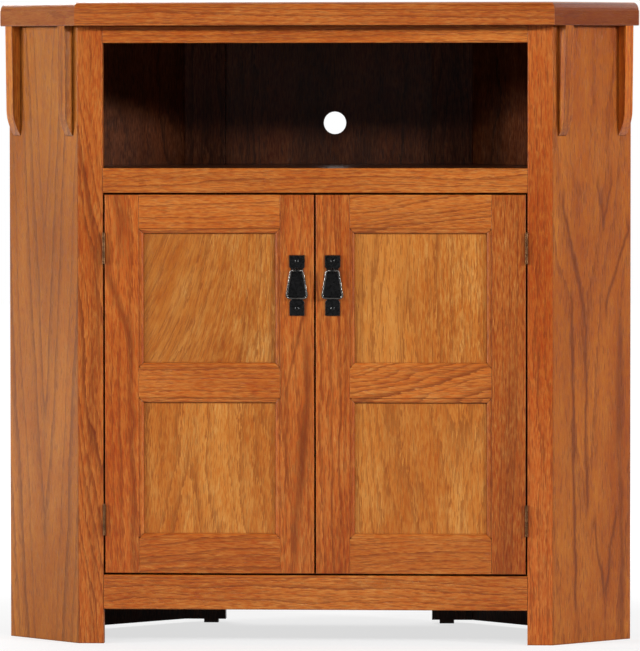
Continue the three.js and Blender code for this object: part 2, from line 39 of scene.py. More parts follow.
# Places of the colour sockets of a Mix node, which gives the same names to its other sockets
mix_factor_socket = 0
mix_first_socket = 6
mix_second_socket = 7
mix_result_socket = 2

white = (1.0, 1.0, 1.0, 1.0)


def srgb(red, green, blue):
    """A screen colour, each part 0 to 255, as the linear values that a shader takes."""
    toe_end = 0.04045
    toe_slope = 12.92
    lift = 0.055
    power = 2.4

    def linear(value):
        share = value / 255
        return share / toe_slope if share <= toe_end else ((share + lift) / (1 + lift)) ** power
    return (linear(red), linear(green), linear(blue), 1.0)


class Net:
    """Adds nodes to a node tree. A value given to a socket is a number or another socket."""

    def __init__(self, tree):
        self.tree = tree

    def add(self, kind, values=None, **settings):
        node = self.tree.nodes.new(kind)
        for name, value in settings.items():
            setattr(node, name, value)
        for name, value in (values or {}).items():
            self.put(node.inputs[name], value)
        return node

    def put(self, socket, value):
        if isinstance(value, bpy.types.NodeSocket):
            self.tree.links.new(value, socket)
        else:
            socket.default_value = value

    def math(self, operation, *values):
        return self.add("ShaderNodeMath", dict(enumerate(values)), operation=operation).outputs[0]

    def vector(self, operation, *values):
        node = self.add("ShaderNodeVectorMath", dict(enumerate(values)), operation=operation)
        wanted = "Value" if operation in ("DOT_PRODUCT", "LENGTH") else "Vector"
        return node.outputs[wanted]

    def combine(self, *parts):
        return self.add("ShaderNodeCombineXYZ", dict(enumerate(parts))).outputs[0]

    def split(self, vector):
        return self.add("ShaderNodeSeparateXYZ", {0: vector}).outputs

    def noise(self, place, per_metre, detail=2.0, roughness=0.5):
        scaled = self.vector("MULTIPLY", place, per_metre)
        values = {"Vector": scaled, "Scale": 1.0, "Detail": detail, "Roughness": roughness}
        return self.add("ShaderNodeTexNoise", values).outputs["Fac"]

    def random_for(self, number):
        """A random value from 0 to 1, the same wherever the number is the same."""
        node = self.add("ShaderNodeTexWhiteNoise", {"W": number}, noise_dimensions="1D")
        return node.outputs["Value"]

    def spread(self, value, from_low, from_high, to_low=0.0, to_high=1.0, smooth=False):
        """A value carried from one range to another, and held at its ends."""
        kind = "SMOOTHSTEP" if smooth else "LINEAR"
        values = {
            "Value": value,
            "From Min": from_low,
            "From Max": from_high,
            "To Min": to_low,
            "To Max": to_high,
        }
        return self.add("ShaderNodeMapRange", values, interpolation_type=kind).outputs["Result"]

    def swing(self, noise, reach, noise_range=usual_range):
        """A noise as a value that swings from minus its reach to plus its reach."""
        return self.spread(noise, *noise_range, -reach, reach)

    def mix(self, factor, first, second, blend="MIX"):
        values = {mix_factor_socket: factor, mix_first_socket: first, mix_second_socket: second}
        node = self.add("ShaderNodeMix", values, data_type="RGBA", blend_type=blend)
        return node.outputs[mix_result_socket]

    def tint(self, colour, other, mask, strength):
        """A colour, taken towards another one by a strength where the mask is 1."""
        return self.mix(self.math("MULTIPLY", mask, strength), colour, other)

    def ramp(self, value, stops):
        node = self.add("ShaderNodeValToRGB", {"Fac": value})
        ramp = node.color_ramp
        while len(ramp.elements) < len(stops):
            ramp.elements.new(1.0)
        for element, (place, grey) in zip(ramp.elements, stops):
            element.position = place
            element.color = (grey, grey, grey, 1.0)
        return node.outputs["Color"]


# Grain: how often each noise repeats in a metre, across the board, into it and along it
grain_per_metre = {
    "slow": (13.0, 13.0, 3.2),
    "quick": (80.0, 80.0, 14.0),
    "comb": (500.0, 500.0, 70.0),
    "band": (62.0, 62.0, 2.6),
    "speck": (620.0, 620.0, 46.0),
    "cloud": (9.0, 9.0, 1.9),
    "mottle": (44.0, 44.0, 17.0),
}

# A ring from its start to its end: each place as a share of the ring, with the vein's darkness
ring_shares = ((0.0, 0.0), (0.07, 1.0), (0.2, 0.8), (0.42, 0.35), (0.7, 0.08), (1.0, 0.0))


def ring_phase(net, given, split, bent, seeded, comb):
    """How many growth rings lie between the heart of the tree and a place in the board."""
    quick_reach = 0.2
    noises_in_ring = 0.37
    noise_in_rings = 2.4
    slow = net.noise(seeded, grain_per_metre["slow"], detail=2.0)
    quick = net.noise(seeded, grain_per_metre["quick"], detail=3.0, roughness=0.6)
    across = net.math("SUBTRACT", bent, given["Centre"])
    inward = net.math("ADD", split["Y"], given["Pith"])
    radius = net.vector("LENGTH", net.combine(across, inward))
    leaning = net.math("MULTIPLY_ADD", split["Z"], given["Taper"], radius)
    slow_shift = net.math("MULTIPLY", net.swing(slow, 1.0), given["Wander"])
    quick_shift = net.math("MULTIPLY", net.swing(quick, quick_reach), given["Wander"])
    wandering = net.math("ADD", leaning, net.math("ADD", slow_shift, quick_shift))
    phase = net.math("DIVIDE", wandering, given["Spacing"])
    uneven = net.add(
        "ShaderNodeTexNoise",
        {"W": net.math("MULTIPLY", phase, noises_in_ring), "Scale": 1.0, "Detail": 1.0},
        noise_dimensions="1D",
    ).outputs["Fac"]
    phase = net.math("MULTIPLY_ADD", uneven, noise_in_rings, phase)
    feathered = net.math("MULTIPLY", net.swing(comb, 1.0), given["Feather"])
    return net.math("ADD", phase, feathered)


def grain_group():
    """The growth rings, bands, combed streaks, pores and clouds of an oak board.

    The place is in board space: X across the face, Y into the board, Z along the grain. Centre is
    how far across the board the heart of the tree lies, and Pith how far in front of it. Spacing is
    the width of a ring, Taper how far the rings shift for each metre of length, Wander how far they
    stray, and Feather how ragged they are, in rings. Lean is how far the grain runs sideways for
    each metre of length, and Twist is how that changes across the board."""
    faintest_ring = 0.12
    band_low = 0.5
    band_high = 0.7
    full_vein = 0.7
    speck_outside_vein = 0.6
    speck_in_vein = 0.46
    pore_edge = 0.06
    tree = bpy.data.node_groups.new("oak_grain", "ShaderNodeTree")
    for name in ("Place", "Seed"):
        tree.interface.new_socket(name, in_out="INPUT", socket_type="NodeSocketVector")
    for name in ("Centre", "Pith", "Spacing", "Taper", "Wander", "Feather", "Lean", "Twist"):
        tree.interface.new_socket(name, in_out="INPUT", socket_type="NodeSocketFloat")
    for name in ("Vein", "Band", "Comb", "Pore", "Cloud", "Mottle"):
        tree.interface.new_socket(name, in_out="OUTPUT", socket_type="NodeSocketFloat")
    net = Net(tree)
    given = net.add("NodeGroupInput").outputs
    split = net.split(given["Place"])
    slope = net.math("MULTIPLY_ADD", split["X"], given["Twist"], given["Lean"])
    bent = net.math("SUBTRACT", split["X"], net.math("MULTIPLY", split["Z"], slope))
    seeded = net.vector("ADD", net.combine(bent, split["Y"], split["Z"]), given["Seed"])

    comb = net.noise(seeded, grain_per_metre["comb"], detail=2.0, roughness=0.6)
    phase = ring_phase(net, given, split, bent, seeded, comb)
    profile = net.ramp(net.math("FRACT", phase), ring_shares)
    strength = net.random_for(net.math("FLOOR", phase))
    vein = net.math("MULTIPLY", profile, net.spread(strength, 0.0, 1.0, faintest_ring, 1.0))

    band = net.noise(seeded, grain_per_metre["band"], detail=4.0, roughness=0.62)
    band = net.spread(band, band_low, band_high, smooth=True)
    speck = net.noise(seeded, grain_per_metre["speck"], detail=1.0)
    sparse = net.spread(vein, 0.0, full_vein, speck_outside_vein, speck_in_vein)
    pore = net.spread(net.math("SUBTRACT", speck, sparse), 0.0, pore_edge)
    cloud = net.noise(seeded, grain_per_metre["cloud"], detail=2.0)
    mottle = net.noise(seeded, grain_per_metre["mottle"], detail=3.0, roughness=0.55)
    marks = {"Vein": vein, "Band": band, "Comb": comb, "Pore": pore, "Cloud": cloud, "Mottle": mottle}
    net.add("NodeGroupOutput", marks)
    return tree


def soft_normal(net, radius):
    """The way the surface faces, with its edges rounded over a radius."""
    return net.add("ShaderNodeBevel", {"Radius": radius}, samples=4).outputs["Normal"]


def edge_mask(net, radius):
    """1 on a sharp outer or inner edge, 0 on a flat face."""
    least_bend = 0.02
    full_bend = 0.3
    rounded = soft_normal(net, radius)
    plain = net.add("ShaderNodeNewGeometry").outputs["True Normal"]
    bend = net.math("SUBTRACT", 1.0, net.vector("DOT_PRODUCT", rounded, plain))
    return net.spread(bend, least_bend, full_bend, smooth=True)


def pooled_stain_and_painted_shade_mask(net, reach):
    """1 deep in a corner or a groove, where stain gathers and where shade is painted, and 0 in the
    open.
    """
    deep_share = 0.5
    open_share = 0.92
    sky = net.add("ShaderNodeAmbientOcclusion", {"Distance": reach}, samples=6).outputs["AO"]
    return net.spread(sky, deep_share, open_share, 1.0, 0.0, smooth=True)


def relief(net, sockets, height, strength, depth, edge_radius=None):
    """Gives a surface a fine relief, and rounds its edges where it has an edge radius."""
    values = {"Strength": strength, "Distance": depth, "Height": height}
    if edge_radius:
        values["Normal"] = soft_normal(net, edge_radius)
    net.put(sockets["Normal"], net.add("ShaderNodeBump", values).outputs[0])


def empty_material(name):
    material = bpy.data.materials.new(name)
    material.use_nodes = True
    material.node_tree.nodes.clear()
    return material, Net(material.node_tree)


def new_material(name):
    """A material of one shader. Gives the material, its nodes and the shader's sockets."""
    material, net = empty_material(name)
    shader = net.add("ShaderNodeBsdfPrincipled")
    net.add("ShaderNodeOutputMaterial", {"Surface": shader.outputs[0]})
    return material, net, shader.inputs


grain = grain_group()

# Stains: the colour of the pale wood, of the body and of the dark veins
stains = {
    "frame": (srgb(200, 108, 40), srgb(183, 89, 26), srgb(128, 56, 15)),
    "red frame": (srgb(206, 108, 40), srgb(188, 86, 21), srgb(128, 54, 14)),
    "rail": (srgb(206, 118, 46), srgb(189, 98, 31), srgb(136, 64, 18)),
    "panel": (srgb(212, 134, 56), srgb(196, 114, 41), srgb(148, 78, 25)),
    "wing": (srgb(192, 115, 42), srgb(172, 96, 28), srgb(120, 64, 22)),
    "red wing": (srgb(192, 106, 32), srgb(173, 86, 22), srgb(122, 54, 14)),
    "top": (srgb(208, 118, 48), srgb(190, 98, 34), srgb(130, 60, 18)),
    "inner": (srgb(102, 52, 26), srgb(78, 40, 21), srgb(42, 22, 13)),
}

# Marks on the oak, painted shade among them: how far each takes the colour towards the dark stain
streak_and_painted_shade_strength = 0.85
end_grain_strength = 0.6
joint_strength = 0.6
pore_strength = 0.5
pooled_stain_and_painted_shade_strength = 0.7

# Directions of a board: across its face, into it and along its grain
slant = math.sqrt(0.5)
upright = (Vector((1, 0, 0)), Vector((0, 1, 0)), Vector((0, 0, 1)))
level = (Vector((0, 0, 1)), Vector((0, 1, 0)), Vector((1, 0, 0)))
lying = (Vector((0, 1, 0)), Vector((0, 0, 1)), Vector((1, 0, 0)))
left_wing = (Vector((-slant, slant, 0)), Vector((slant, slant, 0)), Vector((0, 0, 1)))
right_wing = (Vector((slant, slant, 0)), Vector((-slant, slant, 0)), Vector((0, 0, 1)))

# A dark streak on one board, or a broad band of painted shade. Its start and end are places across
# the board and along it, in metres from the board's middle.
Streak = namedtuple("Streak", "start end width strength")

dark_streaks_and_painted_shade = {
    "left_stile": (
        Streak(start=(-0.02, 0.32), end=(0.012, 0.13), width=0.006, strength=0.7),
        Streak(start=(0.012, 0.13), end=(0.014, -0.05), width=0.003, strength=0.6),
    ),
    "right_stile": (
        Streak(start=(-0.002, -0.02), end=(-0.001, -0.09), width=0.0025, strength=0.7),
        Streak(start=(0.004, 0.45), end=(0.0, 0.12), width=0.03, strength=0.2),
    ),
    "left_side_panel": (
        # Painted shade: darkens the upper part of the left side panel.
        Streak(start=(0.0, 0.5), end=(0.0, 0.36), width=0.1, strength=0.22),
    ),
    "right_side_panel": (
        Streak(start=(-0.048, 0.05), end=(-0.039, -0.43), width=0.006, strength=1.0),
        Streak(start=(-0.016, 0.025), end=(-0.014, -0.27), width=0.005, strength=0.95),
        Streak(start=(0.062, -0.01), end=(0.06, -0.145), width=0.011, strength=0.8),
        Streak(start=(0.005, -0.315), end=(0.025, -0.416), width=0.0045, strength=0.95),
        Streak(start=(0.05, -0.3), end=(0.03, -0.416), width=0.0045, strength=0.95),
        Streak(start=(0.064, -0.25), end=(0.069, -0.494), width=0.008, strength=0.8),
        Streak(start=(-0.067, 0.212), end=(-0.021, 0.045), width=0.007, strength=1.0),
        Streak(start=(0.078, 0.168), end=(0.03, 0.048), width=0.005, strength=0.95),
        Streak(start=(0.014, 0.24), end=(0.023, 0.188), width=0.0045, strength=0.9),
        Streak(start=(0.041, 0.24), end=(0.025, 0.188), width=0.0045, strength=0.9),
    ),
    "left_door_hinge_stile": (
        Streak(start=(-0.01, 0.3), end=(-0.004, 0.272), width=0.015, strength=0.75),
        Streak(start=(-0.026, 0.18), end=(0.012, 0.07), width=0.0085, strength=0.85),
        Streak(start=(0.0125, 0.09), end=(0.0145, -0.28), width=0.0065, strength=0.65),
        Streak(start=(-0.008, 0.0), end=(-0.006, -0.28), width=0.003, strength=0.6),
    ),
    "left_door_lock_stile": (
        Streak(start=(0.017, 0.13), end=(0.006, 0.075), width=0.0035, strength=0.8),
        Streak(start=(0.006, 0.075), end=(-0.012, -0.01), width=0.0035, strength=0.75),
        Streak(start=(0.0205, 0.04), end=(0.013, -0.14), width=0.009, strength=0.85),
        Streak(start=(0.0107, -0.09), end=(0.002, -0.25), width=0.011, strength=0.85),
        Streak(start=(-0.012, -0.02), end=(-0.016, -0.29), width=0.003, strength=0.6),
    ),
    "right_door_lock_stile": (
        Streak(start=(-0.006, 0.3), end=(-0.004, -0.3), width=0.003, strength=0.6),
        Streak(start=(0.006, 0.3), end=(0.008, -0.3), width=0.0028, strength=0.6),
    ),
    "right_door_hinge_stile": (
        Streak(start=(0.009, -0.04), end=(-0.002, -0.32), width=0.02, strength=0.4),
    ),
}


def glued_boards(net, place, width):
    """Splits a wide board into narrow ones glued side by side.

    Gives the place in each narrow board, its own offset for the grain, its tone and the joint."""
    grain_shift = (1.7, 0.9, 2.3)
    darkest_tone = 0.92
    palest_tone = 1.06
    joint_width = 0.0005
    split = net.split(place)
    count = net.math("DIVIDE", split["X"], width)
    which = net.math("FLOOR", count)
    within = net.math("SUBTRACT", net.math("FRACT", count), 0.5)
    across = net.math("MULTIPLY", within, width)
    narrow = net.combine(across, split["Y"], split["Z"])
    offset = net.vector("MULTIPLY", net.combine(which, which, which), grain_shift)
    tone = net.spread(net.random_for(which), 0.0, 1.0, darkest_tone, palest_tone)
    joint = net.spread(net.math("ABSOLUTE", across), width / 2 - joint_width, width / 2)
    return narrow, offset, tone, joint


def lipping(net, coordinates, place, board):
    """The board along each slanted end of the top, on the faces that look sideways.

    Gives 1 on that board and 0 elsewhere, the place within whichever board it is, and its tone, which
    is darker for end grain, and on the right end darker still with painted shade."""
    least_sideways = 0.35
    full_sideways = 0.36
    half_change = 0.01
    left_tone = (0.57, 0.57, 0.58, 1.0)
    # The right end is darker than the left by painted shade.
    right_tone_with_painted_shade = (0.35, 0.24, 0.15, 1.0)
    sideways = net.math("ABSOLUTE", net.split(coordinates["Normal"])["X"])
    lip = net.spread(sideways, least_sideways, full_sideways)
    where = net.split(place)
    depth = net.math("SUBTRACT", net.math("ABSOLUTE", where["X"]), where["Y"])
    length = net.math("MULTIPLY", where["Y"], math.sqrt(2))
    board = net.mix(lip, board, net.combine(where["Z"], depth, length))
    on_right = net.spread(where["X"], -half_change, half_change)
    return lip, board, net.mix(on_right, left_tone, right_tone_with_painted_shade)


def streak_mask(net, split, wood, streak):
    """1 along a dark streak or a broad band of painted shade, and 0 away from it, with combed edges
    and drawn-out ends.
    """
    sway = 0.004
    end_weight = 0.15
    raggedness = 0.4
    fade_end = 1.1
    start_across, start_along = streak.start
    end_across, end_along = streak.end
    share = net.spread(split["Z"], start_along, end_along)
    line = net.math("MULTIPLY_ADD", share, end_across - start_across, start_across)
    nearest = net.math("MULTIPLY_ADD", share, end_along - start_along, start_along)
    swayed = net.math("ADD", line, net.swing(wood["Mottle"], sway))
    beside = net.math("SUBTRACT", split["X"], swayed)
    beyond = net.math("MULTIPLY", net.math("SUBTRACT", split["Z"], nearest), end_weight)
    away = net.vector("LENGTH", net.combine(beside, beyond))
    away = net.math("DIVIDE", away, streak.width)
    away = net.math("ADD", away, net.swing(wood["Comb"], raggedness))
    return net.spread(away, 0.0, fade_end, 1.0, 0.0, smooth=True)


def stronger_to_the_right(net, split, combed):
    """Combed streaks that are weak left of a board's middle and strong right of it."""
    left_end = -0.05
    right_end = 0.04
    weak = 0.5
    strong = 1.1
    strength = net.spread(split["X"], left_end, right_end, weak, strong)
    return net.math("MULTIPLY", combed, strength)


def wear_and_painted_highlight_edges(net, wood, colour, pale):
    """Rubs the stain off sharp edges, in streaks, and paints a highlight along them."""
    edge_radius = 0.0018
    least_wear_and_highlight = 0.1
    most_wear_and_highlight = 0.5
    edge = edge_mask(net, edge_radius)
    wear_and_highlight = net.spread(wood["Comb"], *narrow_range, least_wear_and_highlight, most_wear_and_highlight)
    return net.mix(net.math("MULTIPLY", edge, wear_and_highlight), colour, pale)


def lacquer(net, sockets, wood, shine):
    """Satin lacquer, sunk a little into the pores and the veins."""
    smoothest = 0.24
    roughest = 0.36
    pore_height = -1.0
    vein_height = -0.3
    specular = 0.4
    coat = 0.25
    coat_haze = 0.16
    net.put(sockets["Roughness"], net.spread(wood["Comb"], *wide_range, smoothest, roughest))
    sunk_veins = net.math("MULTIPLY", wood["Vein"], vein_height)
    height = net.math("MULTIPLY_ADD", wood["Pore"], pore_height, sunk_veins)
    relief(net, sockets, height, strength=0.35, depth=0.00025, edge_radius=0.0014)
    sockets["Specular IOR Level"].default_value = specular * shine
    sockets["Coat Weight"].default_value = coat * shine
    sockets["Coat Roughness"].default_value = coat_haze


def oak(name, stain, turn, origin, centre=0.0, pith=0.05, spacing=0.006, taper=0.02, wander=0.006,
        feather=0.1, lean=0.0, twist=0.0, vein=0.7, band=0.3, comb=0.28, mottle=0.07, shade=1.0,
        shine=1.0, board_width=None, lipped=False, combed_right=False, streaks=()):
    """Lacquered oak. A deeper stain takes more blue than green, and more green than red.

    Turn holds the board's directions, and origin is its middle. Centre to twist go to the grain.
    Vein, band, comb and mottle say how strong those marks are, shade multiplies the stain and
    shine the lacquer. A wide board is glued up from boards of board_width, and a lipped one, which
    has a board_width too, has a board of its own along each slanted end."""
    pooled_stain_and_painted_shade_reach = 0.003
    material, net, sockets = new_material(name)
    pale, body, dark = [
        (red * shade, green * shade, blue * shade, 1.0) for red, green, blue, _ in stains[stain]
    ]
    coordinates = net.add("ShaderNodeTexCoord").outputs
    place = net.vector("SUBTRACT", coordinates["Object"], origin)
    board = net.combine(*[net.vector("DOT_PRODUCT", place, axis) for axis in turn])
    seed = tuple(seeds.uniform(-seed_reach, seed_reach) for _ in range(3))
    if board_width:
        board, offset, board_tone, joint = glued_boards(net, board, board_width)
        seed = net.vector("ADD", offset, seed)
    if lipped:
        lip, board, lip_tone_with_painted_shade = lipping(net, coordinates, place, board)
        joint = net.math("MULTIPLY", joint, net.math("SUBTRACT", 1.0, lip))
    values = {
        "Place": board,
        "Seed": seed,
        "Centre": centre,
        "Pith": pith,
        "Spacing": spacing,
        "Taper": taper,
        "Wander": wander,
        "Feather": feather,
        "Lean": lean,
        "Twist": twist,
    }
    wood = net.add("ShaderNodeGroup", values, node_tree=grain).outputs
    colour = net.mix(net.spread(wood["Cloud"], *cloud_range, smooth=True), pale, body)
    colour = net.tint(colour, dark, wood["Band"], band)
    colour = net.tint(colour, dark, wood["Vein"], vein)
    split = net.split(board)
    for streak in streaks:
        mask = streak_mask(net, split, wood, streak)
        colour = net.tint(colour, dark, mask, streak_and_painted_shade_strength * streak.strength)
    if not lipped:
        along = turn[-1]
        end_grain = net.math("ABSOLUTE", net.vector("DOT_PRODUCT", coordinates["Normal"], along))
        colour = net.tint(colour, dark, end_grain, end_grain_strength)
    combed = net.swing(wood["Comb"], comb)
    if combed_right:
        combed = stronger_to_the_right(net, split, combed)
    deeper = net.math("ADD", combed, net.swing(wood["Mottle"], mottle, narrow_range))
    stain_depth = net.math("ADD", deeper, 1.0)
    colour = net.add("ShaderNodeGamma", {"Color": colour, "Gamma": stain_depth}).outputs[0]
    if board_width:
        tones = {0: board_tone, 1: board_tone, 2: board_tone}
        tone = net.add("ShaderNodeCombineColor", tones).outputs[0]
        if lipped:
            tone = net.mix(lip, tone, lip_tone_with_painted_shade)
        colour = net.mix(1.0, colour, tone, "MULTIPLY")
        colour = net.tint(colour, dark, joint, joint_strength)
    colour = net.tint(colour, dark, wood["Pore"], pore_strength)
    # Paler along sharp edges: wear, and a painted highlight.
    colour = wear_and_painted_highlight_edges(net, wood, colour, pale)
    # Darker in corners and grooves: stain that gathers there, and painted shade.
    colour = net.tint(colour, dark, pooled_stain_and_painted_shade_mask(net, pooled_stain_and_painted_shade_reach), pooled_stain_and_painted_shade_strength)
    net.put(sockets["Base Color"], colour)
    lacquer(net, sockets, wood, shine)
    return material


def middle(node):
    """The middle of a node's box at rest."""
    low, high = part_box(node)
    return (low + high) / 2


def dress(node, material):
    """Gives a node one material in place of its own."""
    slots = cad[node].data.materials
    slots.clear()
    slots.append(material)


def dress_oak(node, stain, turn, **values):
    """Makes oak for one node, with the dark streaks and painted shade listed for it, and dresses the
    node in it.
    """
    streaks = dark_streaks_and_painted_shade.get(node, ())
    dress(node, oak(node + "_oak", stain, turn, middle(node), streaks=streaks, **values))


def dress_top():
    dress_oak("top", "top", lying, pith=0.08, spacing=0.006, taper=0.012, wander=0.006, vein=0.6,
              board_width=0.1, lipped=True)


def dress_face_frame():
    dress_oak("left_stile", "frame", upright, centre=0.035, pith=0.02, spacing=0.01, taper=-0.14,
              wander=0.012, vein=0.9, band=0.5, shade=0.95)
    dress_oak("right_stile", "red frame", upright, centre=-0.08, spacing=0.012, taper=0.02,
              wander=0.01, vein=0.35, band=0.2, shade=0.97)
    dress_oak("top_rail", "rail", level, centre=0.08, spacing=0.006, wander=0.006, vein=0.6)
    dress_oak("mid_rail", "rail", level, centre=0.09, spacing=0.007, wander=0.008, vein=0.6)
    dress_oak("bottom_rail", "rail", level, centre=-0.1, spacing=0.008, taper=0.01, wander=0.01,
              vein=0.7)


def dress_side_panels():
    dress_oak("left_side_panel", "wing", left_wing, pith=0.006, centre=-0.004, spacing=0.017,
              taper=-0.075, wander=0.006, feather=0.03, vein=0.65, band=0.15, comb=0.16,
              mottle=0.05, shade=0.95)
    dress_oak("right_side_panel", "red wing", right_wing, pith=0.02, centre=-0.02, spacing=0.024,
              taper=-0.1, wander=0.02, feather=0.06, vein=0.3, band=0.15, comb=0.16,
              mottle=0.06, shade=0.9)


def dress_corbels_and_back(side, stain, turn, back_turn):
    """The two corbels of one side, the outer one lightened with painted light, and the back post,
    back panel and shelf cleat there.
    """
    # The outer corbels' stain is lightened with painted light, for the lamp light that the inner
    # corbels block.
    corbel_shades_with_painted_light = {"inner": 1.0, "outer": 1.34}
    for place, shade in corbel_shades_with_painted_light.items():
        dress_oak(f"{side}_{place}_corbel", stain, turn, centre=0.06, spacing=0.006, wander=0.006,
                  vein=0.8, band=0.5, shade=shade)
    dress_oak(side + "_back_post", "inner", upright, spacing=0.008, shine=0.5)
    dress_oak(side + "_back_panel", "inner", back_turn, pith=0.2, spacing=0.01, wander=0.015,
              shine=0.3)
    dress_oak(side + "_shelf_cleat", "inner", lying, spacing=0.008, shine=0.5)


def dress_door_stiles():
    dress_oak("left_door_hinge_stile", "frame", upright, centre=0.07, spacing=0.014, wander=0.01,
              lean=-0.05, vein=0.35, band=0.2, shade=1.07)
    dress_oak("left_door_lock_stile", "frame", upright, centre=-0.06, spacing=0.012, wander=0.01,
              vein=0.35, band=0.2)
    dress_oak("right_door_lock_stile", "frame", upright, centre=-0.09, spacing=0.011, wander=0.007,
              vein=0.6, band=0.4)
    dress_oak("right_door_hinge_stile", "frame", upright, centre=0.09, spacing=0.006, wander=0.005,
              vein=0.3, band=0.2, comb=0.34, shade=0.84)


def dress_door_rails():
    dress_oak("left_door_top_rail", "rail", level, centre=0.08, spacing=0.008, taper=0.02,
              wander=0.006, vein=0.7, shade=1.05)
    dress_oak("left_door_mid_rail", "rail", level, centre=-0.08, spacing=0.008, taper=-0.02,
              wander=0.008, vein=0.7, shade=1.04)
    dress_oak("left_door_bottom_rail", "rail", level, centre=0.08, spacing=0.008, taper=0.03,
              wander=0.01, vein=0.7)
    dress_oak("right_door_top_rail", "rail", level, pith=0.03, centre=-0.05, spacing=0.008,
              taper=-0.14, wander=0.014, vein=0.8)
    dress_oak("right_door_mid_rail", "rail", level, pith=0.02, centre=-0.04, spacing=0.008,
              taper=-0.22, wander=0.012, vein=0.9, shade=1.06)
    dress_oak("right_door_bottom_rail", "rail", level, centre=0.09, spacing=0.007, wander=0.006,
              vein=0.5, shade=0.96)


def dress_door_panels():
    dress_oak("left_door_upper_panel", "panel", upright, centre=0.3, spacing=0.014, taper=0.0,
              wander=0.012, feather=0.25, lean=0.26, twist=-2.3, vein=0.4, comb=0.28, mottle=0.13,
              shade=0.9, combed_right=True)
    dress_oak("left_door_lower_panel", "panel", upright, pith=0.014, centre=-0.03, spacing=0.018,
              taper=0.12, wander=0.02, feather=0.2, lean=0.04, vein=0.5, comb=0.26, mottle=0.12)
    dress_oak("right_door_upper_panel", "panel", upright, pith=0.02, centre=-0.02, spacing=0.012,
              taper=0.05, wander=0.013, feather=0.2, vein=0.45, comb=0.3, mottle=0.08,
              combed_right=True)
    dress_oak("right_door_lower_panel", "panel", upright, pith=0.02, centre=0.055, spacing=0.017,
              taper=-0.12, wander=0.02, feather=0.2, vein=0.4, band=0.25, comb=0.24, mottle=0.12)


def dress_inside():
    dress_oak("centre_back_panel", "inner", upright, pith=0.2, spacing=0.01, wander=0.015, shine=0.8)
    for node in ("media_shelf", "cabinet_bottom", "inner_shelf"):
        dress_oak(node, "inner", lying, pith=0.1, spacing=0.009, wander=0.012, shine=0.5)
    dress_oak("rear_shelf_cleat", "inner", level, spacing=0.008, shine=0.5)


def dress_woodwork():
    """Dresses every board. Each draws its grain's random start in this order."""
    dress_top()
    dress_face_frame()
    dress_side_panels()
    dress_corbels_and_back("left", "wing", left_wing, right_wing)
    dress_corbels_and_back("right", "red wing", right_wing, left_wing)
    dress_door_stiles()
    dress_door_rails()
    dress_door_panels()
    dress_inside()


def iron(name, metallic, low, high, gloss):
    """Black iron, from its low to its high colour. A metallic one is rubbed bright by hands.

    Gloss is the lowest roughness."""
    coarse_per_metre = (260.0, 260.0, 260.0)
    fine_per_metre = (1800.0, 1800.0, 1800.0)
    edge_radius = 0.0007
    worn = srgb(110, 104, 100)
    worn_strength = 0.6
    haze = 0.12
    coarse_height = 0.8
    fine_height = 0.2
    material, net, sockets = new_material(name)
    place = net.add("ShaderNodeTexCoord").outputs["Object"]
    coarse = net.noise(place, coarse_per_metre, detail=3.0)
    fine = net.noise(place, fine_per_metre, detail=2.0)
    colour = net.mix(net.spread(coarse, *core_range), low, high)
    colour = net.tint(colour, worn, edge_mask(net, edge_radius), worn_strength)
    net.put(sockets["Base Color"], colour)
    net.put(sockets["Roughness"], net.spread(coarse, *narrow_range, gloss, gloss + haze))
    fine_part = net.math("MULTIPLY", fine, fine_height)
    height = net.math("MULTIPLY_ADD", coarse, coarse_height, fine_part)
    relief(net, sockets, height, strength=0.22, depth=0.0004, edge_radius=0.0008)
    sockets["Metallic"].default_value = metallic
    return material


def bronze():
    """Brushed bronze that has tarnished in patches."""
    brushed_per_metre = (1400.0, 1400.0, 60.0)
    tarnish_per_metre = (90.0, 90.0, 90.0)
    bright = srgb(148, 108, 74)
    tarnished = srgb(96, 66, 44)
    smoothest = 0.28
    roughest = 0.5
    material, net, sockets = new_material("hinge_bronze")
    place = net.add("ShaderNodeTexCoord").outputs["Object"]
    brushed = net.noise(place, brushed_per_metre, detail=3.0)
    tarnish = net.noise(place, tarnish_per_metre, detail=3.0)
    net.put(sockets["Base Color"], net.mix(net.spread(tarnish, *core_range), bright, tarnished))
    net.put(sockets["Roughness"], net.spread(brushed, *wide_range, smoothest, roughest))
    relief(net, sockets, brushed, strength=0.2, depth=0.0002)
    sockets["Metallic"].default_value = 1.0
    return material


def catch_plastic():
    """Brown moulded plastic with a fine grain."""
    fine_per_metre = (1500.0, 1500.0, 1500.0)
    broad_per_metre = (60.0, 60.0, 60.0)
    dark_brown = srgb(70, 46, 30)
    pale_brown = srgb(84, 58, 40)
    smoothest = 0.45
    roughest = 0.6
    material, net, sockets = new_material("catch_plastic")
    place = net.add("ShaderNodeTexCoord").outputs["Object"]
    fine = net.noise(place, fine_per_metre, detail=2.0)
    broad = net.noise(place, broad_per_metre, detail=2.0)
    colour = net.mix(net.spread(broad, *narrow_range), dark_brown, pale_brown)
    net.put(sockets["Base Color"], colour)
    net.put(sockets["Roughness"], net.spread(broad, *narrow_range, smoothest, roughest))
    relief(net, sockets, fine, strength=0.2, depth=0.0002)
    return material


def dress_hardware():
    """Dresses the handles, the hinges, the strikes and the catch."""
    painted = iron("black_iron", metallic=0.0, low=srgb(5, 5, 6), high=srgb(12, 12, 14), gloss=0.22)
    rubbed = iron("rubbed_iron", metallic=1.0, low=srgb(112, 110, 107), high=srgb(148, 145, 141),
                  gloss=0.16)
    hinge = bronze()
    for side in ("left", "right"):
        for piece in ("backplate", "upper_screw", "lower_screw"):
            dress(f"{side}_handle_{piece}", painted)
        dress(side + "_handle_bail", rubbed)
        for place in ("upper", "lower"):
            for piece in ("frame_leaf", "pin", "door_leaf"):
                dress(f"{side}_{place}_hinge_{piece}", hinge)
        dress(side + "_door_strike", hinge)
    dress("magnetic_catch", catch_plastic())


